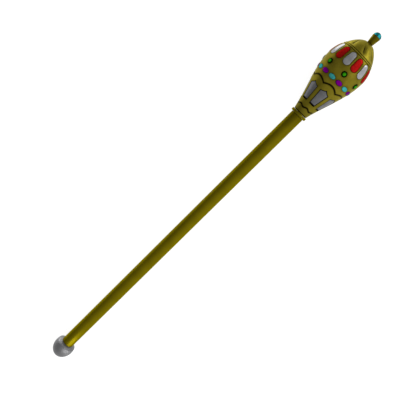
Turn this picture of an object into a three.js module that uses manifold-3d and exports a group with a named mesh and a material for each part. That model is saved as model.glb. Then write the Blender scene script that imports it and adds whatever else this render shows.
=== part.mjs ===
// A ceremonial sceptre, lying on its side. A round gilt shaft ends in a silver ball. Above a
// thin collar it carries a club-shaped gilt head, set with silver panels and with round, oval
// and long stones, under a swirled crown, a flared peg and a blue stone.
// Sizes are in millimetres. X runs along the sceptre to its tip, Z is up, and the origin is in
// the middle of its footprint.

import * as THREE from 'three';
import { mergeVertices } from 'three/addons/utils/BufferGeometryUtils.js';
import Module from 'manifold-3d';

// Shaft, ball and collar.
const shaftRadius = 12;
const shaftLength = 617.6;
const ballRadius = 19.9;
const ballHalfLength = 24;
const ballMiddle = -11.7;
const collarRadius = 15.2;
const collarThickness = 4.7;
const collarEdge = 1.2;

// Head: its radii, and how full the curves between them are.
const neckRadius = 13.4;
const neckFlare = THREE.MathUtils.degToRad(11);
const neckHandle = 30;
const beltRadius = 38.5;
const beltHandleBelow = 33;
const beltHandleAbove = 27;
const crownTopRadius = 6;
const crownTopHandle = 10.4;

// Engraved lines: a straight one by the collar, a waved one, and a scalloped one.
const lineWidth = 1.7;
const lineDepth = 0.8;
const footLineAt = 1.3;
const footLineWidth = 1.2;
const footLineToWave = 10.9;
const waveRise = 0.8;
const panelToScallop = 6.4;
const scallopRise = 5.2;

// Silver panels, each with a keel-arched top, in recesses between plain ribs.
const panelCount = 7;
const panelRib = 8.2;
const waveToPanel = 12.6;
const panelSide = 25.2;
const panelPeak = 4.2;
const keelHandleAlong = 0.25;
const keelHandleAcross = 0.4;
const panelThickness = 1.6;
const panelSink = 0.4;
const panelEdge = 0.5;
const panelTopAcross = 0.9;
const panelGrooveSide = 0.8;
const panelGrooveTop = 1.2;
const panelGrooveFoot = 2.5;

// Oval stones in one row.
const ovalCount = 14;
const ovalLength = 7.4;
const ovalGap = 3.2;
const ovalCrown = 0.8;
const scallopToOval = 7.2;

// Round stones on the widest part.
const roundCount = 7;
const roundRadius = 4.6;
const roundCrown = 1.2;
const ovalToRound = 6.8;
const roundToBelt = 5.4;

// The flat left on top of a faceted stone, and how much of its crown's height that has.
const stoneTop = 0.72;
const stoneTopHeight = 0.8;

// Long inlays between ribs, and the ring above them.
const inlayCount = 14;
const inlayRib = 4;
const inlayLength = 24.6;
const inlayTaper = 0.88;
const inlayCrown = 0.5;
const inlayTopAlong = 0.86;
const inlayTopAcross = 0.6;
const beltToInlay = 0.8;
const inlayToRing = 0.9;
const ringWidth = 2;
const ringRise = 0.5;
const ringGroove = 1.3;

// Crown of swirled lobes.
const lobeCount = 7;
const lobeDepth = 2.2;
const lobeSwirl = THREE.MathUtils.degToRad(32);
const crownHeight = 23.2;
const seamStart = 5;
const seamSharpness = 0.6;

// Peg and tip stone. The stone has its levels as shares of its length and of its radius.
const pegFootRadius = 5.3;
const pegTopRadius = 7.4;
const pegLength = 14.9;
const tipStoneLength = 6.9;
const tipStoneSides = 10;
const girdleEnd = 0.3;
const facetTurn = 0.72;
const tableRadius = 0.34;

// How deep stones sit, and the clearance between neighbouring pieces.
const stoneDepth = 2.4;
const gap = 0.3;

// Bearings around the head, from its top towards -Y.
const panelBearing = THREE.MathUtils.degToRad(8);
const roundBearing = THREE.MathUtils.degToRad(6);
const stoneBearing = THREE.MathUtils.degToRad(13.5);
const lobeBearing = THREE.MathUtils.degToRad(8);

// Flat spots on which it lies, as depths taken off the ball and the head.
const ballFlat = 0.4;
const headFlat = 0.3;

// Facets.
const shaftSides = 36;
const ballSides = 28;
const ballRings = 10;
const columnsPerBay = 6;
const roundSides = 10;
const ovalSides = 10;
const curveSteps = 3;
const panelRings = 2;
const stoneRings = 3;
const inlayRings = 3;
const crownRings = 5;

// Stations along the head, measured from its foot.
const waveAt = footLineAt + footLineToWave;
const panelFoot = waveAt + waveToPanel;
const panelShoulder = panelFoot + panelSide;
const panelTop = panelShoulder + panelPeak;
const scallopAt = panelTop + panelToScallop;
const ovalAt = scallopAt + scallopRise + scallopToOval + ovalLength / 2;
const roundAt = ovalAt + ovalLength / 2 + ovalToRound + roundRadius;
const beltAt = roundAt + roundRadius + roundToBelt;
const inlayFoot = beltAt + beltToInlay;
const inlayTop = inlayFoot + inlayLength;
const ringFoot = inlayTop + inlayToRing;
const ringTop = ringFoot + 2 * ringGroove + ringWidth;
const crownTop = ringTop + crownHeight;

// Where the head, the peg and the tip stone start along the sceptre, from the shaft's foot.
const collarAt = shaftLength + gap;
const headAt = collarAt + collarThickness + gap;
const pegAt = headAt + crownTop + gap;
const tipStoneAt = pegAt + pegLength + gap;

// Finishes.
const gilt = { color: 0x8f8220, roughness: 0.38, metalness: 0.9 };
const palerGilt = { color: 0x9a8c2a, roughness: 0.34, metalness: 0.9 };
const ballSilver = { color: 0x9b9b9d, roughness: 0.35, metalness: 0.85 };
const panelSilver = { color: 0x8c8c8e, roughness: 0.4, metalness: 0.85 };
const inlaySilver = { color: 0xb4b4b8, roughness: 0.3, metalness: 0.8 };
const redEnamel = { color: 0xb01018, roughness: 0.22, metalness: 0 };
const greenStone = { color: 0x23901c, roughness: 0.15, metalness: 0 };
const purpleStone = { color: 0x6f0080, roughness: 0.2, metalness: 0 };
const turquoiseStone = { color: 0x45aab0, roughness: 0.3, metalness: 0 };
const blueStone = { color: 0x0a86a2, roughness: 0.12, metalness: 0 };

const wasm = await Module();
wasm.setup();

// A closed solid from a geometry, with its shared corners merged.
function solidOf(geometry) {
  const bare = geometry.clone();
  bare.deleteAttribute('normal');
  bare.deleteAttribute('uv');
  const merged = mergeVertices(bare);
  const corners = merged.index.array;
  const triangles = [];
  for (let i = 0; i < corners.length; i += 3) {
    const [a, b, c] = corners.slice(i, i + 3);
    if (a !== b && b !== c && c !== a) triangles.push(a, b, c);
  }
  const vertProperties = merged.attributes.position.array;
  const triVerts = new Uint32Array(triangles);
  return new wasm.Manifold(new wasm.Mesh({ numProp: 3, vertProperties, triVerts }));
}

// The geometry of a solid that was cut.
function geometryOf(solid) {
  const mesh = solid.getMesh();
  const geometry = new THREE.BufferGeometry();
  geometry.setAttribute('position', new THREE.BufferAttribute(mesh.vertProperties, 3));
  geometry.setIndex(new THREE.BufferAttribute(mesh.triVerts, 1));
  geometry.computeVertexNormals();
  return geometry;
}

function piece(name, geometry, finish) {
  const mesh = new THREE.Mesh(geometry, new THREE.MeshStandardMaterial(finish));
  mesh.name = name;
  return mesh;
}

// A turned piece with its axis along X. The profile's points are [distance along, radius].
function turned(profile, sides) {
  const points = profile.map(([along, radius]) => new THREE.Vector2(radius, along));
  return new THREE.LatheGeometry(points, sides).rotateZ(-Math.PI / 2);
}

// The head's outline, as a curve from the neck to the belt and one from the belt to the crown.
const taperCurve = new THREE.CubicBezierCurve(
  new THREE.Vector2(0, neckRadius),
  new THREE.Vector2(neckHandle * Math.cos(neckFlare), neckRadius + neckHandle * Math.sin(neckFlare)),
  new THREE.Vector2(beltAt - beltHandleBelow, beltRadius),
  new THREE.Vector2(beltAt, beltRadius),
);
const crownCurve = new THREE.CubicBezierCurve(
  new THREE.Vector2(beltAt, beltRadius),
  new THREE.Vector2(beltAt + beltHandleAbove, beltRadius),
  new THREE.Vector2(crownTop, crownTopRadius + crownTopHandle),
  new THREE.Vector2(crownTop, crownTopRadius),
);

// The plain head's radius at a station, found by halving along the curve.
function headRadius(at) {
  const curve = at < beltAt ? taperCurve : crownCurve;
  let low = 0;
  let high = 1;
  while (high - low > 1e-6) {
    const middle = (low + high) / 2;
    if (curve.getPoint(middle).x < at) low = middle;
    else high = middle;
  }
  return curve.getPoint(high).y;
}

// A shape drawn flat is laid on the head: x runs along it, y around it and z out from it.
// Where tapering, y is a length at every station, and otherwise it narrows with the head.
function laidOnHead(geometry, station, bearing, tapering) {
  const position = geometry.attributes.position;
  const point = new THREE.Vector3();
  for (let i = 0; i < position.count; i++) {
    point.fromBufferAttribute(position, i);
    const at = station + point.x;
    const radius = headRadius(at) + point.z;
    const around = bearing - point.y / headRadius(tapering ? at : station);
    position.setXYZ(i, headAt + at, -radius * Math.sin(around), radius * Math.cos(around));
  }
  geometry.computeVertexNormals();
  return geometry;
}

// A block over an outline. Each level, from the underside up, has its height over the head and
// the share of the outline that is left there, along and across.
function levelled(outline, levels) {
  const steps = levels.length - 1;
  const geometry = new THREE.ExtrudeGeometry(outline, { depth: steps, steps, bevelEnabled: false });
  const position = geometry.attributes.position;
  for (let i = 0; i < position.count; i++) {
    const { height, along, across } = levels[Math.round(position.getZ(i))];
    position.setXYZ(i, position.getX(i) * along, position.getY(i) * across, height);
  }
  return geometry;
}

// The levels of a stone with a rounded top, and of the straight seat that is cut for it.
function stoneLevels(crown) {
  return [
    { height: -stoneDepth, along: 1, across: 1 },
    { height: 0, along: 1, across: 1 },
    { height: crown * stoneTopHeight, along: stoneTop, across: stoneTop },
  ];
}
function seatLevels(depth) {
  return [
    { height: -depth, along: 1, across: 1 },
    { height: depth, along: 1, across: 1 },
  ];
}

function ellipseOutline(along, across, sides) {
  const curve = new THREE.EllipseCurve(0, 0, along, across);
  return new THREE.Shape(curve.getPoints(sides).slice(0, sides));
}

// A long inlay: straight sides that close in a little, with a round end at each end.
function inlayOutline(width, margin) {
  const footRadius = width / 2 + margin;
  const topRadius = (width / 2) * inlayTaper + margin;
  const half = inlayLength / 2 + margin;
  const outline = new THREE.Shape();
  outline.absarc(half - topRadius, 0, topRadius, -Math.PI / 2, Math.PI / 2);
  outline.absarc(footRadius - half, 0, footRadius, Math.PI / 2, Math.PI * 1.5);
  return new THREE.Shape(outline.extractPoints(curveSteps).shape);
}

// A silver panel, from its foot at x = 0: sides along the ribs, then a keel arch. The margins
// widen it to its recess.
function panelOutline(side, top, foot) {
  const halfWidth = (at) => (Math.PI * headRadius(at)) / panelCount - panelRib / 2 + side;
  const footHalf = halfWidth(panelFoot);
  const shoulderHalf = halfWidth(panelShoulder);
  const outline = new THREE.Shape();
  outline.moveTo(-foot, footHalf);
  outline.lineTo(-foot, -footHalf);
  outline.lineTo(panelSide, -shoulderHalf);
  const handle = panelSide + panelPeak * keelHandleAlong + top;
  const handleHalf = shoulderHalf * keelHandleAcross;
  outline.quadraticCurveTo(handle, -handleHalf, panelSide + panelPeak + top, 0);
  outline.quadraticCurveTo(handle, handleHalf, panelSide, shoulderHalf);
  return new THREE.Shape(outline.extractPoints(curveSteps).shape);
}

// The stones' outlines take their width from the pitch of their row.
const ovalPitch = (2 * Math.PI * headRadius(ovalAt)) / ovalCount;
const ovalWidth = ovalPitch - ovalGap;
const inlayMiddle = (inlayFoot + inlayTop) / 2;
const inlayWidth = (2 * Math.PI * headRadius(inlayMiddle)) / inlayCount - inlayRib;

// Calls make(bearing, index) for each copy around the head.
function around(count, firstBearing, make) {
  return Array.from({ length: count }, (_, i) => make(firstBearing + (i * 2 * Math.PI) / count, i));
}

function ovalStone(bearing) {
  const outline = ellipseOutline(ovalLength / 2, ovalWidth / 2, ovalSides);
  return laidOnHead(levelled(outline, stoneLevels(ovalCrown)), ovalAt, bearing, false);
}

function roundStone(bearing) {
  const outline = ellipseOutline(roundRadius, roundRadius, roundSides);
  return laidOnHead(levelled(outline, stoneLevels(roundCrown)), roundAt, bearing, false);
}

function longInlay(bearing) {
  const levels = [
    { height: -stoneDepth, along: 1, across: 1 },
    { height: 0, along: 1, across: 1 },
    { height: inlayCrown, along: inlayTopAlong, across: inlayTopAcross },
  ];
  const outline = inlayOutline(inlayWidth, 0);
  const inlay = laidOnHead(levelled(outline, levels), inlayMiddle, bearing, false);
  return geometryOf(flattened(solidOf(inlay)));
}

function silverPanel(bearing) {
  const levels = [
    { height: -panelSink - panelThickness, along: 1, across: 1 },
    { height: -panelSink - panelEdge, along: 1, across: 1 },
    { height: -panelSink, along: 1, across: panelTopAcross },
  ];
  return laidOnHead(levelled(panelOutline(0, 0, 0), levels), panelFoot, bearing, true);
}

// Every seat in the head: a stone's or panel's own outline, wider and deeper by its clearance.
function seats() {
  const stoneSeat = seatLevels(stoneDepth + gap);
  const panelSeat = seatLevels(panelSink + panelThickness + gap);
  const seatOf = (outline, levels, station, bearing, tapering) => (
    laidOnHead(levelled(outline, levels), station, bearing, tapering)
  );
  const oval = (bearing) => {
    const outline = ellipseOutline(ovalLength / 2 + gap, ovalWidth / 2 + gap, ovalSides);
    return seatOf(outline, stoneSeat, ovalAt, bearing, false);
  };
  const round = (bearing) => {
    const outline = ellipseOutline(roundRadius + gap, roundRadius + gap, roundSides);
    return seatOf(outline, stoneSeat, roundAt, bearing, false);
  };
  const inlay = (bearing) => (
    seatOf(inlayOutline(inlayWidth, gap), stoneSeat, inlayMiddle, bearing, false)
  );
  const panel = (bearing) => {
    const outline = panelOutline(panelGrooveSide, panelGrooveTop, panelGrooveFoot);
    return seatOf(outline, panelSeat, panelFoot, bearing, true);
  };
  return [
    ...around(ovalCount, stoneBearing, oval),
    ...around(roundCount, roundBearing, round),
    ...around(inlayCount, stoneBearing, inlay),
    ...around(panelCount, panelBearing, panel),
  ];
}

// Rings of the head. Each has its station, how far it lies below the plain outline, and how
// far it waves along the head at a bearing.
function evenRings(from, to, count) {
  return Array.from({ length: count }, (_, i) => ({ at: from + ((to - from) * (i + 1)) / (count + 1) }));
}
function lineRings(at, width, depth, wave) {
  return [
    { at: at - width / 2, wave },
    { at, below: depth, wave },
    { at: at + width / 2, wave },
  ];
}

// The waves: 1 over the middle of each panel, and -1 or, for the scallops, a cusp at 0 between.
function gentleWave(bearing) {
  return waveRise * Math.cos(panelCount * (bearing - panelBearing));
}
function scallops(bearing) {
  return scallopRise * Math.abs(Math.cos((panelCount * (bearing - panelBearing)) / 2));
}

function headRings() {
  const ringMiddle = ringFoot + ringGroove + ringWidth / 2;
  const scallopEnd = scallopAt + scallopRise + lineWidth / 2;
  const crown = evenRings(ringTop, crownTop, crownRings);
  return [
    { at: 0, axis: true },
    { at: 0 },
    ...lineRings(footLineAt, footLineWidth, lineDepth, null),
    ...lineRings(waveAt, lineWidth, lineDepth, gentleWave),
    ...evenRings(waveAt + waveRise + lineWidth / 2, scallopAt - lineWidth / 2, panelRings),
    ...lineRings(scallopAt, lineWidth, lineDepth, scallops),
    ...evenRings(scallopEnd, beltAt, stoneRings),
    { at: beltAt },
    ...evenRings(beltAt, ringFoot, inlayRings),
    ...lineRings(ringFoot + ringGroove / 2, ringGroove, lineDepth, null),
    { at: ringMiddle, below: -ringRise },
    ...lineRings(ringTop - ringGroove / 2, ringGroove, lineDepth, null),
    ...crown.map((ring) => ({ ...ring, crown: (ring.at - ringTop) / crownHeight })),
    { at: crownTop, crown: 1 },
    { at: crownTop, axis: true },
  ];
}

// How far the crown's surface lies below its plain outline: deepest in the seams between the
// lobes, which start at the ring and run out towards the top.
function seamDepth(crown, turn) {
  const lobe = Math.abs(Math.sin((lobeCount * turn) / 2));
  const fullness = Math.min(1, crown * seamStart) * (1 - crown ** 3);
  return lobeDepth * fullness * (1 - lobe ** seamSharpness);
}

// The head's body: turned, engraved and lobed, before its seats are cut.
function plainHead() {
  const rings = headRings();
  const columns = columnsPerBay * panelCount;
  const blank = new THREE.LatheGeometry(rings.map((ring) => new THREE.Vector2(1, ring.at)), columns);
  const position = blank.attributes.position;
  for (let i = 0; i < position.count; i++) {
    const ring = rings[i % rings.length];
    const turn = (2 * Math.PI * Math.floor(i / rings.length)) / columns;
    const lobed = ring.crown !== undefined;
    const bearing = turn + (lobed ? lobeBearing - lobeSwirl * ring.crown : panelBearing);
    const at = ring.at + (ring.wave ? ring.wave(bearing) : 0);
    const below = lobed ? seamDepth(ring.crown, turn) : ring.below ?? 0;
    const radius = ring.axis ? 0 : headRadius(at) - below;
    position.setXYZ(i, headAt + at, -radius * Math.sin(bearing), radius * Math.cos(bearing));
  }
  return blank;
}

// How it lies: on the flats under the ball and under the widest part of the head.
const ballHeight = ballRadius - ballFlat;
const headHeight = beltRadius - headFlat;
const tilt = Math.asin((headHeight - ballHeight) / (headAt + beltAt - ballMiddle));
const lying = new THREE.Group();
lying.rotation.y = -tilt;
lying.position.z = ballHeight - ballMiddle * Math.sin(tilt);
lying.updateMatrix();

// Takes off what would reach below the surface on which the sceptre lies.
function flattened(solid) {
  const reach = 2 * (pegAt + pegLength);
  const below = new THREE.BoxGeometry(reach, 4 * beltRadius, 2 * beltRadius);
  below.translate(0, 0, -beltRadius);
  below.applyMatrix4(lying.matrix.clone().invert());
  return solid.subtract(solidOf(below));
}

function shaft() {
  return turned([[0, 0], [0, shaftRadius], [shaftLength, shaftRadius], [shaftLength, 0]], shaftSides);
}

// The ball: a little longer than wide, and round from its end to a flat shoulder at the shaft.
function ball() {
  const meeting = Math.acos((-gap - ballMiddle) / ballHalfLength);
  const profile = Array.from({ length: ballRings + 1 }, (_, i) => {
    const angle = Math.PI - ((Math.PI - meeting) * i) / ballRings;
    const radius = i === 0 ? 0 : ballRadius * Math.sin(angle);
    return [ballMiddle + ballHalfLength * Math.cos(angle), radius];
  });
  profile.push([-gap, 0]);
  return geometryOf(flattened(solidOf(turned(profile, ballSides))));
}

function collar() {
  const end = collarThickness;
  const shoulder = collarRadius - collarEdge;
  const profile = [
    [0, 0], [0, shoulder], [collarEdge, collarRadius],
    [end - collarEdge, collarRadius], [end, shoulder], [end, 0],
  ];
  return turned(profile, shaftSides).translate(collarAt, 0, 0);
}

function head() {
  const cut = seats().reduce((body, seat) => body.subtract(solidOf(seat)), solidOf(plainHead()));
  return geometryOf(flattened(cut));
}

function peg() {
  const profile = [[0, 0], [0, pegFootRadius], [pegLength, pegTopRadius], [pegLength, 0]];
  return turned(profile, shaftSides / 2).translate(pegAt, 0, 0);
}

// The tip stone: a short girdle, then two rows of facets up to a small table.
function tipStone() {
  const profile = [
    [0, 0],
    [0, pegTopRadius],
    [tipStoneLength * girdleEnd, pegTopRadius],
    [tipStoneLength * facetTurn, pegTopRadius * facetTurn],
    [tipStoneLength, pegTopRadius * tableRadius],
    [tipStoneLength, 0],
  ];
  return turned(profile, tipStoneSides).translate(tipStoneAt, 0, 0);
}

lying.add(
  piece('shaft', shaft(), gilt),
  piece('ball', ball(), ballSilver),
  piece('collar', collar(), palerGilt),
  piece('head', head(), gilt),
  piece('peg', peg(), gilt),
  piece('tip_stone', tipStone(), blueStone),
);

// Alternate copies in a row have the other colour, and each colour is numbered from 1.
function addAlternating(count, make, [evenName, evenFinish], [oddName, oddFinish]) {
  around(count, stoneBearing, (bearing, i) => {
    const even = i % 2 === 0;
    const name = `${even ? evenName : oddName}_${Math.floor(i / 2) + 1}`;
    lying.add(piece(name, make(bearing), even ? evenFinish : oddFinish));
  });
}
addAlternating(ovalCount, ovalStone, ['purple_stone', purpleStone], ['turquoise_stone', turquoiseStone]);
addAlternating(inlayCount, longInlay, ['red_inlay', redEnamel], ['silver_inlay', inlaySilver]);
around(panelCount, panelBearing, (bearing, i) => {
  lying.add(piece(`silver_panel_${i + 1}`, silverPanel(bearing), panelSilver));
});
around(roundCount, roundBearing, (bearing, i) => {
  lying.add(piece(`green_stone_${i + 1}`, roundStone(bearing), greenStone));
});

const sceptre = new THREE.Group();
sceptre.add(lying);
const box = new THREE.Box3().setFromObject(sceptre, true);
lying.position.x = -(box.min.x + box.max.x) / 2;

export default sceptre;
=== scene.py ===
from math import acos, asin, atan2, cos, exp, hypot, pi, radians, sin, sqrt

import bmesh
import bpy
import numpy as np
from mathutils import Euler, Matrix, Vector


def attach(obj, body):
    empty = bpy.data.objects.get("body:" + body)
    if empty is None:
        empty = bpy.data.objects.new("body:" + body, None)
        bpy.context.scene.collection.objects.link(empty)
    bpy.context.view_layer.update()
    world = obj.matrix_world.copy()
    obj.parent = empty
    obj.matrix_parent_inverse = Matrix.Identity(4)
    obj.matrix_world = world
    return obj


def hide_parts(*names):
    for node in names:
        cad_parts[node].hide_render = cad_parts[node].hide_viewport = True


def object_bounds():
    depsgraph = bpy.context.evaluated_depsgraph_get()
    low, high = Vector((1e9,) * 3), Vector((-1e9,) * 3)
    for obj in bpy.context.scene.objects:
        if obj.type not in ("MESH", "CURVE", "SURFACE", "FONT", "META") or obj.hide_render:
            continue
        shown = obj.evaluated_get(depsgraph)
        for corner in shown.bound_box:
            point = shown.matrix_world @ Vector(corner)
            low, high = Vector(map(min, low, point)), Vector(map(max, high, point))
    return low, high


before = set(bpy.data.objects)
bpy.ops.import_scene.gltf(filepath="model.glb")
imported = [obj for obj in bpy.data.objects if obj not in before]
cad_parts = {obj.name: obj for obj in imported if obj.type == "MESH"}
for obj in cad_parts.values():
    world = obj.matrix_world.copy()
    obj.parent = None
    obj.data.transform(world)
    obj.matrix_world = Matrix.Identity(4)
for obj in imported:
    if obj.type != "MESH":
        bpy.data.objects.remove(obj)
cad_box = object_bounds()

# The sceptre's own sizes, in millimetres along and around its axis, as in the solids.
MM = 0.001
SHAFT_RADIUS = 12.0
SHAFT_LENGTH = 617.6
SHAFT_EDGE = 0.4
BALL_RADIUS = 19.9
BALL_HALF_LENGTH = 24.0
BALL_MIDDLE = -11.7
BALL_SHOULDER = 2.0
BALL_EDGE = 2.4
COLLAR_RADIUS = 15.2
COLLAR_THICKNESS = 4.7
COLLAR_ROUND = 1.2

NECK_RADIUS = 13.4
NECK_FLARE = radians(11)
NECK_HANDLE = 30.0
BELT_RADIUS = 38.5
BELT_HANDLE_BELOW = 33.0
BELT_HANDLE_ABOVE = 27.0
CROWN_TOP_RADIUS = 6.0
CROWN_TOP_HANDLE = 10.4

# The engraved lines. The waved one rises a little more than in the solids.
LINE_WIDTH = 1.7
LINE_DEPTH = 0.8
FOOT_LINE_AT = 1.3
FOOT_LINE_WIDTH = 1.2
WAVE_AT = FOOT_LINE_AT + 10.9
WAVE_RISE = 1.2
WAVE_REACH = 5.0
SCALLOP_RISE = 5.2
SCALLOP_REACH = 10.0

PANEL_COUNT = 7
PANEL_RIB = 8.2
PANEL_FOOT = WAVE_AT + 12.6
PANEL_SIDE = 25.2
PANEL_PEAK = 4.2
PANEL_THICKNESS = 1.6
PANEL_SINK = 0.4
PANEL_EDGE = 0.5
PANEL_GROOVE_SIDE = 0.8
PANEL_GROOVE_TOP = 1.2
PANEL_GROOVE_FOOT = 2.5
KEEL_BEND = 0.2
# About half of a panel's width. It sets no width: only the rounded edge is measured by it.
PANEL_HALF_WIDTH = PANEL_SIDE / 3
SCALLOP_AT = PANEL_FOOT + PANEL_SIDE + PANEL_PEAK + 6.4

STONE_COUNT = 14
OVAL_LENGTH = 7.4
OVAL_GAP = 3.2
OVAL_CROWN = 0.8
OVAL_FULLNESS = 2.4
OVAL_AT = SCALLOP_AT + SCALLOP_RISE + 7.2 + OVAL_LENGTH / 2

ROUND_COUNT = 7
ROUND_RADIUS = 4.6
ROUND_CROWN = 1.2
ROUND_FULLNESS = 2.0
ROUND_AT = OVAL_AT + OVAL_LENGTH / 2 + 6.8 + ROUND_RADIUS
BELT_AT = ROUND_AT + ROUND_RADIUS + 5.4

INLAY_RIB = 4.0
INLAY_RIB_RISE = 0.35
INLAY_RIB_END = 4.0
INLAY_LENGTH = 24.6
INLAY_TAPER = 0.88
INLAY_STRAIGHT = 0.45
INLAY_CROWN = 0.5
INLAY_FULLNESS = 3.0
INLAY_AT = BELT_AT + 0.8 + INLAY_LENGTH / 2
RING_WIDTH = 2.0
RING_RISE = 0.5
RING_SPREAD = 1.3
RING_GROOVE = 1.3
RING_FOOT = INLAY_AT + INLAY_LENGTH / 2 + 0.9
RING_TOP = RING_FOOT + 2 * RING_GROOVE + RING_WIDTH

LOBE_COUNT = 7
LOBE_DEPTH = 2.2
LOBE_SWIRL = radians(32)
SEAM_START = 0.2
SEAM_SHARPNESS = 0.6
CROWN_HEIGHT = 23.2
CROWN_TOP = RING_TOP + CROWN_HEIGHT

PEG_FOOT_RADIUS = 5.3
PEG_TOP_RADIUS = 7.4
PEG_LENGTH = 14.9
PEG_EDGE = 0.35
TIP_STONE_LENGTH = 6.9
TIP_STONE_SIDES = 10

STONE_DEPTH = 2.4
STONE_GROOVE = 0.35
# A seat's wall is straight up to the brim's foot, and opens above it.
BRIM_FOOT = -0.3
BRIM_TOP = 0.2
BRIM_OPENING = 0.35
GAP = 0.3

# Bearings around the head, from its top towards -Y. The lobes share the panels' bearing.
PANEL_BEARING = radians(8)
ROUND_BEARING = radians(6)
STONE_BEARING = radians(13.5)

BALL_FLAT = 0.4
HEAD_FLAT = 0.3

# The grime in the engraved lines. How far it reaches to each side of them:
FOOT_LINE_GRIME = 1.2
LINE_GRIME = 2.5
RING_GRIME = 0.9
# Painted shade: how dark it is, from 0 to 1, and how far it reaches, at the collar, round the
# stones and inlays, and round the panels:
NECK_SHADE = 0.4
SHAFT_SHADE = 0.38
NECK_SHADE_REACH = 18.0
HALO_SHADE = 0.6
HALO_REACH = 1.6
PANEL_SHADE = 0.9
PANEL_SHADE_REACH = 1.1

# Where each piece starts, along the axis from the shaft's foot.
COLLAR_AT = SHAFT_LENGTH + GAP
HEAD_AT = COLLAR_AT + COLLAR_THICKNESS + GAP
PEG_AT = HEAD_AT + CROWN_TOP + GAP
TIP_STONE_AT = PEG_AT + PEG_LENGTH + GAP

# How it lies: on the ball and on the head's widest part, so that the axis rises to the tip.
BALL_HEIGHT = BALL_RADIUS - BALL_FLAT
HEAD_HEIGHT = BELT_RADIUS - HEAD_FLAT
TILT = asin((HEAD_HEIGHT - BALL_HEIGHT) / (HEAD_AT + BELT_AT - BALL_MIDDLE))
FOOT_HEIGHT = BALL_HEIGHT - BALL_MIDDLE * sin(TILT)
FOOT_X = cad_box[0].x - (BALL_MIDDLE - BALL_HALF_LENGTH) * cos(TILT) * MM
LYING = (Matrix.Translation((FOOT_X, 0, FOOT_HEIGHT * MM))
         @ Matrix.Rotation(-TILT, 4, "Y") @ Matrix.Scale(MM, 4))

# Fineness of the meshes.
SHAFT_SIDES = 128
SHAFT_SHADE_STATIONS = (60, 45, 30, 20, 12, 6)
BALL_SIDES = 96
BALL_STEPS = 48
BALL_EDGE_STEPS = 6
COLLAR_SIDES = 96
COLLAR_STEPS = 6
PEG_SIDES = 72
HEAD_COLUMNS = 308
HEAD_STEP = 0.8
LINE_STEPS = 8
SEAT_SIDES = 24
OVAL_GRID = (16, 20)
INLAY_GRID = (40, 16)
ROUND_GRID = (18, 18)
PANEL_GRID = (30, 24)
CURVE_STEPS = 600
MERGE_DISTANCE = 0.004


# The head's plain surface.

def bezier(start, start_handle, end_handle, end):
    """Points of a cubic curve, close together."""
    t = np.linspace(0, 1, CURVE_STEPS)[:, None]
    a, b, c, d = (np.array(p, float) for p in (start, start_handle, end_handle, end))
    return (1 - t) ** 3 * a + 3 * (1 - t) ** 2 * t * b + 3 * (1 - t) * t**2 * c + t**3 * d


HEAD_OUTLINE = np.vstack([
    bezier((0, NECK_RADIUS),
           (NECK_HANDLE * cos(NECK_FLARE), NECK_RADIUS + NECK_HANDLE * sin(NECK_FLARE)),
           (BELT_AT - BELT_HANDLE_BELOW, BELT_RADIUS),
           (BELT_AT, BELT_RADIUS)),
    bezier((BELT_AT, BELT_RADIUS),
           (BELT_AT + BELT_HANDLE_ABOVE, BELT_RADIUS),
           (CROWN_TOP, CROWN_TOP_RADIUS + CROWN_TOP_HANDLE),
           (CROWN_TOP, CROWN_TOP_RADIUS))[1:],
])


def head_radius(at):
    return float(np.interp(at, HEAD_OUTLINE[:, 0], HEAD_OUTLINE[:, 1]))


def on_head(station, bearing, along, across, height, tapering):
    """A point over the head. Where tapering, across is a length at every station, and
    otherwise it narrows with the head."""
    at = station + along
    turn = bearing - across / head_radius(at if tapering else station)
    radius = head_radius(at) + height
    return Vector((HEAD_AT + at, -radius * sin(turn), radius * cos(turn)))


OVAL_WIDTH = 2 * pi * head_radius(OVAL_AT) / STONE_COUNT - OVAL_GAP
INLAY_WIDTH = 2 * pi * head_radius(INLAY_AT) / STONE_COUNT - INLAY_RIB


# Building blocks.

def finished(name, bm, material, replaced, sharp=radians(38)):
    """Puts a mesh drawn in the sceptre's own millimetres in its place, as a finished piece."""
    bmesh.ops.remove_doubles(bm, verts=bm.verts, dist=MERGE_DISTANCE)
    bmesh.ops.recalc_face_normals(bm, faces=bm.faces)
    bm.transform(LYING)
    low, high = cad_box
    for vert in bm.verts:
        vert.co = [min(max(c, least), most) for c, least, most in zip(vert.co, low, high)]
    mesh = bpy.data.meshes.new(name)
    bm.to_mesh(mesh)
    bm.free()
    mesh.shade_smooth()
    mesh.set_sharp_from_angle(angle=sharp)
    mesh.materials.append(material)
    piece = bpy.data.objects.new(name, mesh)
    bpy.context.scene.collection.objects.link(piece)
    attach(piece, "root")
    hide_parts(replaced)
    return piece


def turned(profile, sides):
    """A turned solid about the axis, from (along, radius) points that start and end on it."""
    bm = bmesh.new()
    verts = [bm.verts.new((along, 0, radius)) for along, radius in profile]
    edges = [bm.edges.new(pair) for pair in zip(verts, verts[1:])]
    bmesh.ops.spin(bm, geom=verts + edges, cent=(0, 0, 0), axis=(1, 0, 0), dvec=(0, 0, 0),
                   angle=2 * pi, steps=sides, use_merge=True, use_duplicate=False)
    bmesh.ops.remove_doubles(bm, verts=bm.verts, dist=MERGE_DISTANCE)
    return bm


def arc(middle, radius, start, end, steps):
    """Points (along, radius) on an arc. Its angles in degrees are measured from the axis."""
    angles = [radians(start + (end - start) * i / steps) for i in range(steps + 1)]
    return [(middle[0] + radius * cos(a), middle[1] + radius * sin(a)) for a in angles]


# Outlines. Each takes a point of a square, from -1 to 1 along and across, to a point along and
# across the head, in millimetres from the outline's station. The shares say how near to the
# outline's edge the point is: 0 in the middle, and 1 at the edge.

def disc(u, v):
    return u * sqrt(1 - v * v / 2), v * sqrt(1 - u * u / 2)


def disc_share(u, v):
    return hypot(*disc(u, v))


def ellipse(half_along, half_across):
    def outline(u, v, margin=0.0):
        x, y = disc(u, v)
        return x * (half_along + margin), y * (half_across + margin)
    return outline


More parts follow.
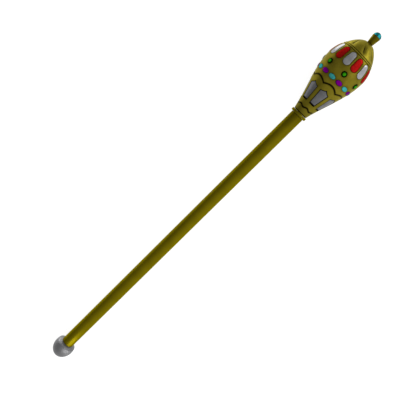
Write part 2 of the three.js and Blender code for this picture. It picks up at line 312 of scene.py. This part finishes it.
oval_outline = ellipse(OVAL_LENGTH / 2, OVAL_WIDTH / 2)
round_outline = ellipse(ROUND_RADIUS, ROUND_RADIUS)


def past_straight(u):
    return max(0.0, abs(u) - INLAY_STRAIGHT) / (1 - INLAY_STRAIGHT)


def inlay_outline(u, v, margin=0.0):
    """Straight sides that close in a little, with a round end at each end."""
    straight = min(max(u / INLAY_STRAIGHT, -1), 1)
    end, across = disc(past_straight(u), v)
    foot_radius = INLAY_WIDTH / 2
    top_radius = foot_radius * INLAY_TAPER
    toward_top = (straight + 1) / 2
    radius = foot_radius + (top_radius - foot_radius) * toward_top + margin
    foot_middle = foot_radius - INLAY_LENGTH / 2
    middle = foot_middle + (INLAY_LENGTH - foot_radius - top_radius) * toward_top
    return middle + (end if u > 0 else -end) * radius, across * radius


def inlay_share(u, v):
    return disc_share(past_straight(u), v)


def panel_outline(u, v, margin=0.0, sunk=False):
    """Sides along the ribs, and a keel arch. Its recess is wider, most of all at the foot."""
    side = (PANEL_GROOVE_SIDE if sunk else 0) + margin
    foot = (PANEL_GROOVE_FOOT if sunk else 0) + margin
    top = (PANEL_GROOVE_TOP if sunk else 0) + margin
    steepest = 1 + KEEL_BEND
    keel = (steepest - sqrt(steepest**2 - 4 * KEEL_BEND * (1 - abs(v)))) / (2 * KEEL_BEND)
    arch = PANEL_PEAK * (keel + keel**2) / 2 + top * sqrt(keel)
    along = -foot + (PANEL_SIDE + arch + foot) * (u + 1) / 2
    radius = head_radius(PANEL_FOOT + min(along, PANEL_SIDE))
    half = pi * radius / PANEL_COUNT - PANEL_RIB / 2 + side
    return along, v * half


def panel_share(u, v):
    end_away = (1 - abs(u)) * PANEL_SIDE / 2 / PANEL_HALF_WIDTH
    return 1 - min(1, end_away, 1 - abs(v))


# Tiles: the stones, inlays and panels, bent on to the head.

def eased(u):
    """Brings a grid's lines closer together towards the edge."""
    return sin(u * pi / 2)


def tile(node, ending, grid, outline, share, top, station, bearing, depth, material):
    """A tile with straight sides, in place of a node. top(share) is its height over the head."""
    bm = bmesh.new()
    bmesh.ops.create_grid(bm, x_segments=grid[0], y_segments=grid[1], size=1)
    shade = bm.verts.layers.float.new("shade")
    brim = [e for e in bm.edges if e.is_boundary]
    made = bmesh.ops.extrude_edge_only(bm, edges=brim)["geom"]
    lower = {g for g in made if isinstance(g, bmesh.types.BMVert)}
    bmesh.ops.edgeloop_fill(bm, edges=[e for e in bm.edges if e.is_boundary])
    for vert in bm.verts:
        u, v = eased(vert.co.x), eased(vert.co.y)
        near_edge = min(1.0, share(u, v))
        # How near the edge a point is: the materials paint shade towards the edge from it.
        vert[shade] = near_edge
        height = -depth if vert in lower else top(near_edge)
        vert.co = on_head(station, bearing, *outline(u, v), height, outline is panel_outline)
    return finished(f"{node}_{ending}", bm, material, node)


def dome(crown, fullness):
    """A pillow's height: full in the middle, and round at the edge."""
    return lambda share: crown * sqrt(1 - share**fullness)


def panel_top(share):
    """Flat, with a rounded edge."""
    left = max(0.0, PANEL_EDGE - (1 - share) * PANEL_HALF_WIDTH)
    return -PANEL_SINK - PANEL_EDGE + sqrt(PANEL_EDGE**2 - left**2)


def bearings(count, first):
    return [first + 2 * pi * i / count for i in range(count)]


# Materials. The effects that several of them share are node groups.

NUMBER, COLOUR, VECTOR = "NodeSocketFloat", "NodeSocketColor", "NodeSocketVector"


def new_group(name, inputs, outputs):
    """A group of shader nodes with named inputs and outputs."""
    group = bpy.data.node_groups.new(name, "ShaderNodeTree")
    for title, kind, value in inputs:
        group.interface.new_socket(title, in_out="INPUT", socket_type=kind).default_value = value
    for title, kind in outputs:
        group.interface.new_socket(title, in_out="OUTPUT", socket_type=kind)
    given = group.nodes.new("NodeGroupInput")
    result = group.nodes.new("NodeGroupOutput")
    return group, group.nodes, group.links, given.outputs, result.inputs


# A mix node's sockets for colours have the same names as those for numbers, so these are their
# places.
MIX_FIRST = 6
MIX_SECOND = 7
MIX_RESULT = 2


def mixed(nodes, links, factor, first, second):
    """A colour between those of two sockets."""
    node = nodes.new("ShaderNodeMix")
    node.data_type = "RGBA"
    links.new(factor, node.inputs["Factor"])
    links.new(first, node.inputs[MIX_FIRST])
    links.new(second, node.inputs[MIX_SECOND])
    return node.outputs[MIX_RESULT]


def mottling_group():
    """Soft patches of two colours."""
    group, nodes, links, given, result = new_group(
        "mottling",
        [("Dull", COLOUR, (0.1, 0.1, 0.1, 1)), ("Bright", COLOUR, (0.2, 0.2, 0.2, 1)),
         ("Scale", NUMBER, 50), ("Detail", NUMBER, 5), ("Softness", NUMBER, 0.3)],
        [("Colour", COLOUR), ("Amount", NUMBER)])
    noise = nodes.new("ShaderNodeTexNoise")
    links.new(nodes.new("ShaderNodeTexCoord").outputs["Object"], noise.inputs["Vector"])
    links.new(given["Scale"], noise.inputs["Scale"])
    links.new(given["Detail"], noise.inputs["Detail"])
    amount = nodes.new("ShaderNodeMapRange")
    links.new(noise.outputs["Fac"], amount.inputs["Value"])
    for limit, side in (("From Min", -0.5), ("From Max", 0.5)):
        around_half = nodes.new("ShaderNodeMath")
        around_half.operation = "MULTIPLY_ADD"
        around_half.inputs[1].default_value = side
        around_half.inputs[2].default_value = 0.5
        links.new(given["Softness"], around_half.inputs[0])
        links.new(around_half.outputs["Value"], amount.inputs[limit])
    links.new(amount.outputs["Result"], result["Amount"])
    colour = mixed(nodes, links, amount.outputs["Result"], given["Dull"], given["Bright"])
    links.new(colour, result["Colour"])
    return group


def shading_group():
    """Darkens a colour where the mesh's own shade is high: grime in engraved lines, and painted
    shade around stones and panels, at a stone's edge, in the crown's seams and near the collar."""
    group, nodes, links, given, result = new_group(
        "shading",
        [("Colour", COLOUR, (0.2, 0.2, 0.2, 1)), ("Dark", COLOUR, (0.01, 0.01, 0.01, 1)),
         ("From", NUMBER, 0), ("To", NUMBER, 1)],
        [("Colour", COLOUR)])
    shade = nodes.new("ShaderNodeAttribute")
    shade.attribute_name = "shade"
    amount = nodes.new("ShaderNodeMapRange")
    links.new(shade.outputs["Fac"], amount.inputs["Value"])
    links.new(given["From"], amount.inputs["From Min"])
    links.new(given["To"], amount.inputs["From Max"])
    colour = mixed(nodes, links, amount.outputs["Result"], given["Colour"], given["Dark"])
    links.new(colour, result["Colour"])
    return group


def brushing_group():
    """Fine streaks of rougher and smoother metal."""
    group, nodes, links, given, result = new_group(
        "brushing",
        [("Stretch", VECTOR, (300, 300, 300)), ("Smoothest", NUMBER, 0.3),
         ("Variation", NUMBER, 0.15), ("Relief", NUMBER, 0.1)],
        [("Roughness", NUMBER), ("Normal", VECTOR)])
    stretch = nodes.new("ShaderNodeMapping")
    links.new(nodes.new("ShaderNodeTexCoord").outputs["Object"], stretch.inputs["Vector"])
    links.new(given["Stretch"], stretch.inputs["Scale"])
    noise = nodes.new("ShaderNodeTexNoise")
    noise.inputs["Scale"].default_value = 1
    noise.inputs["Detail"].default_value = 4
    links.new(stretch.outputs["Vector"], noise.inputs["Vector"])
    roughness = nodes.new("ShaderNodeMath")
    roughness.operation = "MULTIPLY_ADD"
    links.new(noise.outputs["Fac"], roughness.inputs[0])
    links.new(given["Variation"], roughness.inputs[1])
    links.new(given["Smoothest"], roughness.inputs[2])
    links.new(roughness.outputs["Value"], result["Roughness"])
    bump = nodes.new("ShaderNodeBump")
    bump.inputs["Distance"].default_value = 0.0002
    links.new(given["Relief"], bump.inputs["Strength"])
    links.new(noise.outputs["Fac"], bump.inputs["Height"])
    links.new(bump.outputs["Normal"], result["Normal"])
    return group


MOTTLING = mottling_group()
SHADING = shading_group()
BRUSHING = brushing_group()


def new_material(name):
    material = bpy.data.materials.new(name)
    material.use_nodes = True
    tree = material.node_tree
    return material, tree.nodes, tree.links, tree.nodes["Principled BSDF"]


def placed(nodes, group, **values):
    """A group in a material, with its inputs set. Colours are given without their alpha."""
    node = nodes.new("ShaderNodeGroup")
    node.node_tree = group
    for title, value in values.items():
        of_colour = node.inputs[title].type == "RGBA"
        node.inputs[title].default_value = (*value, 1) if of_colour else value
    return node


def mottled(nodes, dull, bright, scale, softness=0.3, detail=5):
    return placed(nodes, MOTTLING, Dull=dull, Bright=bright, Scale=scale, Softness=softness,
                  Detail=detail)


def shaded(nodes, links, colour, dark, start, end):
    node = placed(nodes, SHADING, Dark=dark, From=start, To=end)
    links.new(colour, node.inputs["Colour"])
    return node.outputs["Colour"]


# The dark of the grime in the engraved places, and of the painted shade.
GRIME_AND_SHADE = (0.006, 0.004, 0.001)


def gilt(name, bright, dull, grazing, roughness, variation, stretch, shade=False):
    """Old gilding: mottled, finely brushed, dark in the engraved places, and with painted shade.
    """
    material, nodes, links, shader = new_material(name)
    colour = mottled(nodes, dull, bright, scale=55, softness=0.35, detail=6).outputs["Colour"]
    if shade:
        colour = shaded(nodes, links, colour, GRIME_AND_SHADE, 0, 1)
    links.new(colour, shader.inputs["Base Color"])
    shader.inputs["Metallic"].default_value = 1.0
    shader.inputs["Specular Tint"].default_value = (*grazing, 1)
    brushing = placed(nodes, BRUSHING, Stretch=stretch, Smoothest=roughness - variation / 2,
                      Variation=variation, Relief=variation / 3)
    links.new(brushing.outputs["Roughness"], shader.inputs["Roughness"])
    links.new(brushing.outputs["Normal"], shader.inputs["Normal"])
    return material


def silver(name, bright, dull, roughness, scale, edge_from):
    """Dull silver, darker towards its edge with painted shade."""
    material, nodes, links, shader = new_material(name)
    colour = mottled(nodes, dull, bright, scale, softness=0.6).outputs["Colour"]
    # Painted shade towards the edge.
    if edge_from < 1:
        edge_shade = tuple(c * 0.12 for c in dull)
        colour = shaded(nodes, links, colour, edge_shade, edge_from, 1)
    links.new(colour, shader.inputs["Base Color"])
    shader.inputs["Metallic"].default_value = 0.95
    brushing = placed(nodes, BRUSHING, Stretch=(120, 120, 120), Smoothest=roughness - 0.05,
                      Variation=0.1, Relief=0.03)
    links.new(brushing.outputs["Roughness"], shader.inputs["Roughness"])
    links.new(brushing.outputs["Normal"], shader.inputs["Normal"])
    return material


def stone(name, middle, edge, edge_from, roughness, edge_to=1.0):
    """A polished stone or enamel, clouded, and darker towards its edge with painted shade."""
    material, nodes, links, shader = new_material(name)
    darker = tuple(c * 0.7 for c in middle)
    brighter = tuple(min(1, c * 1.25) for c in middle)
    cloud = mottled(nodes, darker, brighter, scale=260, softness=0.5)
    colour = shaded(nodes, links, cloud.outputs["Colour"], edge, edge_from, edge_to)
    links.new(colour, shader.inputs["Base Color"])
    shader.inputs["Roughness"].default_value = roughness
    shader.inputs["Metallic"].default_value = 0.7
    shader.inputs["Specular IOR Level"].default_value = 0.03
    shader.inputs["Specular Tint"].default_value = (*brighter, 1)
    return material


SHAFT_GILT = gilt("shaft_gilt", bright=(0.176, 0.141, 0.0026), dull=(0.150, 0.119, 0.0021),
                  grazing=(0.9, 0.82, 0.2), roughness=0.37, variation=0.08,
                  stretch=(30, 900, 900), shade=True)
HEAD_GILT = gilt("head_gilt", bright=(0.223, 0.183, 0.016), dull=(0.148, 0.120, 0.009),
                 grazing=(1.0, 0.96, 0.62), roughness=0.38, variation=0.16,
                 stretch=(300, 300, 300), shade=True)
COLLAR_GILT = gilt("collar_gilt", bright=(0.15, 0.122, 0.005), dull=(0.115, 0.093, 0.003),
                   grazing=(0.9, 0.82, 0.35), roughness=0.38, variation=0.12,
                   stretch=(900, 200, 200))
PEG_GILT = gilt("peg_gilt", bright=(0.130, 0.103, 0.005), dull=(0.085, 0.067, 0.003),
                grazing=(0.9, 0.82, 0.35), roughness=0.38, variation=0.12,
                stretch=(300, 300, 300))

BALL_SILVER = silver("ball_silver", bright=(0.22, 0.22, 0.225), dull=(0.16, 0.16, 0.165),
                     roughness=0.53, scale=60, edge_from=1)
PANEL_SILVER = silver("panel_silver", bright=(0.175, 0.175, 0.18), dull=(0.115, 0.115, 0.12),
                      roughness=0.36, scale=160, edge_from=0.90)
INLAY_SILVER = silver("inlay_silver", bright=(0.40, 0.40, 0.41), dull=(0.25, 0.25, 0.26),
                      roughness=0.25, scale=120, edge_from=0.93)

RED = stone("red_enamel", middle=(0.375, 0.008, 0.007), edge=(0.10, 0.0, 0.0),
            edge_from=0.8, roughness=0.4)
GREEN = stone("green_stone", middle=(0.04, 0.33, 0.006), edge=(0.001, 0.006, 0.001),
              edge_from=0.35, roughness=0.3, edge_to=0.75)
PURPLE = stone("purple_stone", middle=(0.19, 0.0, 0.24), edge=(0.03, 0.0, 0.04),
               edge_from=0.8, roughness=0.4)
TURQUOISE = stone("turquoise_stone", middle=(0.050, 0.37, 0.36), edge=(0.015, 0.12, 0.12),
                  edge_from=0.8, roughness=0.4)
BLUE = stone("blue_stone", middle=(0.012, 0.175, 0.195), edge=(0.012, 0.175, 0.195),
             edge_from=0.9, roughness=0.15)


# The turned pieces.

def make_shaft():
    """Plain, and darker towards the collar with painted shade. Its extra stations there carry it.
    """
    end = SHAFT_LENGTH
    profile = [(0, 0), (0, SHAFT_RADIUS - SHAFT_EDGE), (SHAFT_EDGE, SHAFT_RADIUS)]
    profile += [(end - back, SHAFT_RADIUS) for back in (*SHAFT_SHADE_STATIONS, SHAFT_EDGE)]
    profile += [(end, SHAFT_RADIUS - SHAFT_EDGE), (end, 0)]
    bm = turned(profile, SHAFT_SIDES)
    shade = bm.verts.layers.float.new("shade")
    for vert in bm.verts:
        # Painted shade, darker towards the collar.
        vert[shade] = SHAFT_SHADE * exp((vert.co.x - end) / NECK_SHADE_REACH)
    finished("gilt_shaft", bm, SHAFT_GILT, "shaft")


def make_ball():
    """A little longer than wide, with a rounded edge to its low shoulder at the shaft."""
    shoulder = acos((-GAP - BALL_SHOULDER - BALL_MIDDLE) / BALL_HALF_LENGTH)
    angles = [pi - (pi - shoulder) * i / BALL_STEPS for i in range(1, BALL_STEPS + 1)]
    profile = [(BALL_MIDDLE - BALL_HALF_LENGTH, 0)]
    profile += [(BALL_MIDDLE + BALL_HALF_LENGTH * cos(a), BALL_RADIUS * sin(a)) for a in angles]
    profile += [(-GAP, SHAFT_RADIUS), (-GAP, 0)]
    bm = turned(profile, BALL_SIDES)
    rim = {v for v in bm.verts if abs(v.co.x + GAP + BALL_SHOULDER) < 0.01}
    edges = [e for e in bm.edges if rim.issuperset(e.verts)]
    bmesh.ops.bevel(bm, geom=edges, affect="EDGES", offset=BALL_EDGE,
                    segments=BALL_EDGE_STEPS, profile=0.5, material=-1)
    return finished("silver_ball", bm, BALL_SILVER, "ball")


def make_collar():
    corner = COLLAR_RADIUS - COLLAR_ROUND
    end = COLLAR_AT + COLLAR_THICKNESS
    profile = [(COLLAR_AT, 0)]
    profile += arc((COLLAR_AT + COLLAR_ROUND, corner), COLLAR_ROUND, 180, 90, COLLAR_STEPS)
    profile += arc((end - COLLAR_ROUND, corner), COLLAR_ROUND, 90, 0, COLLAR_STEPS)
    profile += [(end, 0)]
    bm = turned(profile, COLLAR_SIDES)
    finished("collar_ring", bm, COLLAR_GILT, "collar")


def make_peg():
    end = PEG_AT + PEG_LENGTH
    profile = [(PEG_AT, 0), (PEG_AT, PEG_FOOT_RADIUS - PEG_EDGE),
               (PEG_AT + PEG_EDGE, PEG_FOOT_RADIUS), (end - PEG_EDGE, PEG_TOP_RADIUS),
               (end, PEG_TOP_RADIUS - PEG_EDGE), (end, 0)]
    finished("flared_peg", turned(profile, PEG_SIDES), PEG_GILT, "peg")


def make_tip_stone():
    """A girdle, then two rows of facets up to a small table. The levels are shares of its length
    and of its radius."""
    levels = [(0, 0), (0, 1), (0.3, 1), (0.72, 0.72), (1, 0.34), (1, 0)]
    profile = [(TIP_STONE_AT + along * TIP_STONE_LENGTH, share * PEG_TOP_RADIUS)
               for along, share in levels]
    bm = turned(profile, TIP_STONE_SIDES)
    finished("cut_tip_stone", bm, BLUE, "tip_stone", sharp=radians(5))


# The head's body.

# The engraved lines: where, how wide, and how far to each side the grime in them reaches.
ENGRAVED = [(FOOT_LINE_AT, FOOT_LINE_WIDTH, FOOT_LINE_GRIME),
            (WAVE_AT, LINE_WIDTH, LINE_GRIME),
            (SCALLOP_AT, LINE_WIDTH, LINE_GRIME),
            (RING_FOOT + RING_GROOVE / 2, RING_GROOVE, RING_GRIME),
            (RING_TOP - RING_GROOVE / 2, RING_GROOVE, RING_GRIME)]


def swell(distance, width):
    """1 in the middle of a groove or rib, and 0 at its edges."""
    return cos(pi * distance / width) ** 2 if abs(distance) < width / 2 else 0.0


def engraving(station):
    return max(swell(station - line, width) for line, width, _ in ENGRAVED)


def waved(station, turn):
    """A ring's station, moved along with the waved or the scalloped line that it is near."""
    gentle = WAVE_RISE * cos(PANEL_COUNT * turn)
    scallops = SCALLOP_RISE * abs(cos(PANEL_COUNT * turn / 2))
    at = station
    waves = ((WAVE_AT, gentle, WAVE_REACH), (SCALLOP_AT, scallops, SCALLOP_REACH))
    for line, rise, reach in waves:
        away = max(0.0, abs(station - line) - LINE_WIDTH)
        at += rise * max(0.0, 1 - away / reach)
    return at


def seam(height, turn):
    """The seams between the crown's lobes, as a share of their depth. The height is a share of
    the crown's."""
    lobe = abs(sin(LOBE_COUNT * turn / 2))
    deepening = min(1, height / SEAM_START)
    return deepening * (1 - height**3) * (1 - lobe**SEAM_SHARPNESS)


def rib(at, bearing):
    """How round the ribs between the long inlays are."""
    pitch = 2 * pi / STONE_COUNT
    turns = (bearing - STONE_BEARING) / pitch - 0.5
    away = abs(turns - round(turns)) * pitch * head_radius(at)
    ends = min(1.0, max(0.0, (INLAY_LENGTH / 2 - abs(at - INLAY_AT)) / INLAY_RIB_END))
    return swell(away, INLAY_RIB) * ends


def halo(at, bearing):
    """Painted shade around the stones, inlays and panels: dark at their edges, and fading
    outwards.
    """
    def away(count, first):
        pitch = 2 * pi / count
        turns = (bearing - first) / pitch
        return abs(turns - round(turns)) * pitch * head_radius(at)
    oval = hypot((at - OVAL_AT) / OVAL_LENGTH, away(STONE_COUNT, STONE_BEARING) / OVAL_WIDTH)
    straight = (INLAY_LENGTH - INLAY_WIDTH) / 2
    past = max(0.0, abs(at - INLAY_AT) - straight)
    half = pi * head_radius(at) / PANEL_COUNT - PANEL_RIB / 2
    beside = max(0.0, away(PANEL_COUNT, PANEL_BEARING) - half)
    beyond = max(0.0, PANEL_FOOT - at, at - PANEL_FOOT - PANEL_SIDE)
    to_stone = min((2 * oval - 1) * OVAL_LENGTH / 2,
                   hypot(at - ROUND_AT, away(ROUND_COUNT, ROUND_BEARING)) - ROUND_RADIUS,
                   hypot(past, away(STONE_COUNT, STONE_BEARING)) - INLAY_WIDTH / 2)
    to_panel = hypot(beside, beyond)
    return max(HALO_SHADE * exp(-max(0.0, to_stone) / HALO_REACH),
               PANEL_SHADE * exp(-to_panel / PANEL_SHADE_REACH))


def head_stations():
    steps = [k / LINE_STEPS - 0.5 for k in range(LINE_STEPS + 1)]
    lines = [at + step * width for at, width, _ in ENGRAVED for step in steps]
    even = np.arange(HEAD_STEP, CROWN_TOP - HEAD_STEP / 2, HEAD_STEP)
    clear = [at for at in even if min(abs(at - line) for line in lines) > HEAD_STEP / 3]
    return [0.0, *sorted(lines + clear), CROWN_TOP]


def plain_head():
    """Turned, then engraved and lobed. Its shade is the grime in its engraved lines, and painted
    shade in the crown's seams, round the stones, inlays and panels, and near the collar.
    """
    bm = turned([(0, 0), *[(at, 1) for at in head_stations()], (CROWN_TOP, 0)], HEAD_COLUMNS)
    shade = bm.verts.layers.float.new("shade")
    for vert in bm.verts:
        station = vert.co.x
        # The middle of each end stays on the axis.
        if hypot(vert.co.y, vert.co.z) < 0.5:
            vert.co.x = HEAD_AT + station
            continue
        turn = atan2(-vert.co.y, vert.co.z)
        height = max(0.0, (station - RING_TOP) / CROWN_HEIGHT)
        bearing = turn + PANEL_BEARING - LOBE_SWIRL * height
        at = waved(station, turn)
        depth = LINE_DEPTH * engraving(station) + LOBE_DEPTH * seam(height, turn)
        ring = RING_RISE * swell(station - (RING_FOOT + RING_TOP) / 2, RING_WIDTH * RING_SPREAD)
        radius = head_radius(at) - depth + ring + INLAY_RIB_RISE * rib(at, bearing)
        lines = max(min(1, (reach - abs(station - line)) / width)
                    for line, width, reach in ENGRAVED)
        # Painted shade, darker towards the collar.
        neck = NECK_SHADE * exp(-at / NECK_SHADE_REACH)
        # Grime in the engraved lines; painted shade in the seams, round the tiles and near the
        # collar.
        vert[shade] = max(0, lines, seam(height, turn) ** 2, halo(at, bearing), neck)
        vert.co = (HEAD_AT + at, -radius * sin(bearing), radius * cos(bearing))
    return bm


def seat(cutters, outline, station, bearing, depth, **options):
    """Adds a cutter for one seat, straight from its floor up and opening at the brim. It starts as
    a round bar, whose sides are shared out over the four sides of the outline's square."""
    levels = [(-depth, 0.0), (BRIM_FOOT, 0.0), (BRIM_TOP, BRIM_OPENING), (depth, 1.0)]
    clear = 0.0 if options else STONE_GROOVE
    sides = 4 * SEAT_SIDES
    first = len(cutters.verts)
    made = bmesh.ops.create_cone(cutters, cap_ends=True, segments=sides, radius1=1, radius2=1,
                                 depth=2)
    walls = {e for v in made["verts"] for e in v.link_edges
             if abs(e.verts[0].co.z - e.verts[1].co.z) > 1}
    bmesh.ops.subdivide_edges(cutters, edges=list(walls), cuts=len(levels) - 2)
    for vert in list(cutters.verts)[first:]:
        height, margin = levels[round((vert.co.z + 1) / 2 * (len(levels) - 1))]
        part = round(atan2(vert.co.y, vert.co.x) / (2 * pi) * sides) % sides
        side, step = divmod(part, SEAT_SIDES)
        run = eased(2 * step / SEAT_SIDES - 1)
        u, v = ((1, run), (-run, 1), (-1, -run), (run, -1))[side]
        place = outline(u, v, margin + clear, **options)
        vert.co = on_head(station, bearing, *place, height, outline is panel_outline)


def all_seats():
    cutters = bmesh.new()
    stone_depth = STONE_DEPTH + GAP
    panel_depth = PANEL_SINK + PANEL_THICKNESS + GAP
    for bearing in bearings(STONE_COUNT, STONE_BEARING):
        seat(cutters, oval_outline, OVAL_AT, bearing, stone_depth)
        seat(cutters, inlay_outline, INLAY_AT, bearing, stone_depth)
    for bearing in bearings(ROUND_COUNT, ROUND_BEARING):
        seat(cutters, round_outline, ROUND_AT, bearing, stone_depth)
    for bearing in bearings(PANEL_COUNT, PANEL_BEARING):
        seat(cutters, panel_outline, PANEL_FOOT, bearing, panel_depth, sunk=True)
    bmesh.ops.recalc_face_normals(cutters, faces=cutters.faces)
    return cutters


def loose_object(name, bm):
    mesh = bpy.data.meshes.new(name)
    bm.to_mesh(mesh)
    bm.free()
    made = bpy.data.objects.new(name, mesh)
    bpy.context.scene.collection.objects.link(made)
    return made


def make_head():
    body = loose_object("head_blank", plain_head())
    cutters = loose_object("head_cutters", all_seats())
    cut = body.modifiers.new("seats", "BOOLEAN")
    cut.operation = "DIFFERENCE"
    cut.solver = "EXACT"
    cut.object = cutters
    carved = bmesh.new()
    carved.from_object(body, bpy.context.evaluated_depsgraph_get())
    for spare in (body, cutters):
        mesh = spare.data
        bpy.data.objects.remove(spare)
        bpy.data.meshes.remove(mesh)
    # The seats' own surfaces are as dark as the grime: dark patina in these hollows, and painted
    # shade.
    shade = carved.verts.layers.float.get("shade")
    for vert in carved.verts:
        at = vert.co.x - HEAD_AT
        if at < RING_FOOT and hypot(vert.co.y, vert.co.z) < head_radius(at) - 0.05:
            vert[shade] = 1.0
    finished("head_casting", carved, HEAD_GILT, "head", sharp=radians(50))


def make_tiles():
    for i, bearing in enumerate(bearings(STONE_COUNT, STONE_BEARING)):
        number = i // 2 + 1
        second = i % 2 == 1
        colour, material = ("turquoise", TURQUOISE) if second else ("purple", PURPLE)
        tile(f"{colour}_stone_{number}", "polished", OVAL_GRID, oval_outline, disc_share,
             dome(OVAL_CROWN, OVAL_FULLNESS), OVAL_AT, bearing, STONE_DEPTH,
             material)
        colour, material = ("silver", INLAY_SILVER) if second else ("red", RED)
        tile(f"{colour}_inlay_{number}", "domed", INLAY_GRID, inlay_outline, inlay_share,
             dome(INLAY_CROWN, INLAY_FULLNESS), INLAY_AT, bearing, STONE_DEPTH, material)
    for i, bearing in enumerate(bearings(ROUND_COUNT, ROUND_BEARING)):
        tile(f"green_stone_{i + 1}", "polished", ROUND_GRID, round_outline, disc_share,
             dome(ROUND_CROWN, ROUND_FULLNESS), ROUND_AT, bearing, STONE_DEPTH,
             GREEN)
    for i, bearing in enumerate(bearings(PANEL_COUNT, PANEL_BEARING)):
        tile(f"silver_panel_{i + 1}", "plate", PANEL_GRID, panel_outline, panel_share, panel_top,
             PANEL_FOOT, bearing, PANEL_SINK + PANEL_THICKNESS, PANEL_SILVER)


# Stage, lights and camera, in metres.

FLOOR_HALF = 6
FLOOR_GLOW = 0.88
WORLD_BRIGHTEST = 1.05
WORLD_DIMMEST = 0.28
CAMERA_PLACE = (0.2259, 0.05505, 1.02024)
CAMERA_TURN = (-11.4163, 6.0405, -45.6244)
CAMERA_LENS = 48.441
CAMERA_SENSOR = 36


def make_floor():
    bm = bmesh.new()
    bmesh.ops.create_grid(bm, x_segments=1, y_segments=1, size=FLOOR_HALF)
    floor = loose_object("pale_floor", bm)
    material, nodes, links, shader = new_material("pale_floor")
    paper = mottled(nodes, (0.29, 0.29, 0.29), (0.31, 0.31, 0.31), scale=4)
    links.new(paper.outputs["Colour"], shader.inputs["Base Color"])
    shader.inputs["Roughness"].default_value = 0.9
    shader.inputs["Emission Color"].default_value = (1, 1, 1, 1)
    shader.inputs["Emission Strength"].default_value = FLOOR_GLOW
    floor.data.materials.append(material)


def area_light(name, target, direction, distance, along, across, power, only=None):
    """A soft light that faces a point of the sceptre, and isn't seen itself. Its sides lie along
    the sceptre and across it. Where a piece is given as only, nothing else is lit."""
    data = bpy.data.lights.new(name, "AREA")
    data.shape = "RECTANGLE"
    data.size = along
    data.size_y = across
    data.energy = power
    light = bpy.data.objects.new(name, data)
    back = Vector(direction).normalized()
    side = (Vector((1, 0, 0)) - back * back.x).normalized()
    light.matrix_world = Matrix((side, back.cross(side), back)).transposed().to_4x4()
    light.location = Vector(target) + back * distance
    light.visible_camera = False
    bpy.context.scene.collection.objects.link(light)
    if only is not None:
        lit = bpy.data.collections.new(name)
        lit.objects.link(only)
        light.light_linking.receiver_collection = lit


def make_world():
    """A bright studio, dimmer towards +Y, so that the metal shades from one side to the other.
    Seen directly, it is white all round."""
    world = bpy.data.worlds.new("studio")
    bpy.context.scene.world = world
    world.use_nodes = True
    nodes, links = world.node_tree.nodes, world.node_tree.links
    direction = nodes.new("ShaderNodeTexCoord").outputs["Generated"]
    parts = nodes.new("ShaderNodeSeparateXYZ")
    links.new(direction, parts.inputs["Vector"])
    strength = nodes.new("ShaderNodeMapRange")
    strength.inputs["From Min"].default_value = -1
    strength.inputs["To Min"].default_value = WORLD_BRIGHTEST
    strength.inputs["To Max"].default_value = WORLD_DIMMEST
    links.new(parts.outputs["Y"], strength.inputs["Value"])
    seen = nodes.new("ShaderNodeMath")
    seen.operation = "MAXIMUM"
    links.new(strength.outputs["Result"], seen.inputs[0])
    links.new(nodes.new("ShaderNodeLightPath").outputs["Is Camera Ray"], seen.inputs[1])
    links.new(seen.outputs["Value"], nodes["Background"].inputs["Strength"])
    nodes["Background"].inputs["Color"].default_value = (1, 1, 1, 1)


def make_lights(ball):
    area_light("foot_light", target=(-0.3655, 0, 0.02), direction=(-0.517, -0.64, 0.57),
               distance=0.08, along=0.012, across=0.08, power=0.0185)
    area_light("ball_light", target=(-0.381, 0.013, 0.029), direction=(0.24, 0.95, -0.15),
               distance=0.05, along=0.04, across=0.04, power=0.024, only=ball)
    area_light("shoulder_light", target=(-0.384, 0.014, 0.028), direction=(0.66, 0.29, -0.62),
               distance=0.035, along=0.015, across=0.015, power=0.003, only=ball)
    area_light("crown_light", target=(0.366, 0.03, 0.055), direction=(0.46, 0.58, -0.52),
               distance=0.07, along=0.07, across=0.04, power=0.0145)
    area_light("front_window", target=(0, 0, 0.02), direction=(0.33, -0.63, 0.71),
               distance=2.0, along=0.5, across=0.5, power=1.5)
    area_light("tip_window", target=(0.39, 0, 0.04), direction=(0.85, -0.52, 0.15),
               distance=0.8, along=0.5, across=0.5, power=2.0)


def make_camera():
    data = bpy.data.cameras.new("camera")
    data.lens = CAMERA_LENS
    data.sensor_width = CAMERA_SENSOR
    camera = bpy.data.objects.new("camera", data)
    camera.location = CAMERA_PLACE
    camera.rotation_euler = Euler([radians(angle) for angle in CAMERA_TURN])
    bpy.context.scene.collection.objects.link(camera)
    bpy.context.scene.camera = camera


make_shaft()
ball = make_ball()
make_collar()
make_head()
make_peg()
make_tip_stone()
make_tiles()
make_floor()
make_world()
make_lights(ball)
make_camera()
bpy.context.scene.view_settings.view_transform = "Standard"
